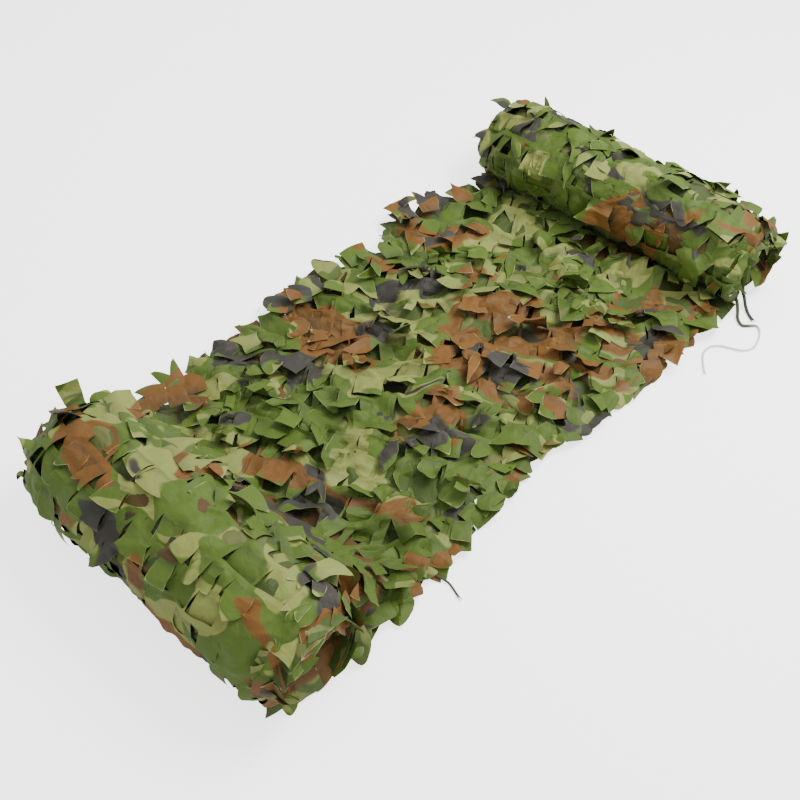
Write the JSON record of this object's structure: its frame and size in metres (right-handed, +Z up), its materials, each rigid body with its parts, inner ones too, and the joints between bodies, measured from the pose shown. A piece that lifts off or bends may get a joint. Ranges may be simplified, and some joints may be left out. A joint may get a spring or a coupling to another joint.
{
  "type": "camouflage net",
  "caption": "Camouflage net of leaf-cut woodland cloth, doubled and rolled up from both ends, with the stretch between the rolls lying open and loose tie cords at its front edge.",
  "frame": {"origin": "on the floor, under the middle of the net without its loose cords", "axes": "+Y along the net from the near, larger roll to the far roll, +X towards the front edge with the cords, +Z up"},
  "size_m": [0.9143, 1.6508, 0.2478],
  "materials": {
    "net_cloth": "thin coated woven polyester, satin, printed in mid green, light olive, brown and dark grey patches, with pale heat-cut edges",
    "tie_cord": "twisted dark olive cord, matt, frayed at its end and washed pale along its tail"
  },
  "bodies": {
    "root": {"camouflage_net": "net_cloth", "front_tie_cord": "tie_cord", "far_tie_cord": "tie_cord", "far_tie_tape": "tie_cord"}
  },
  "joints": []
}
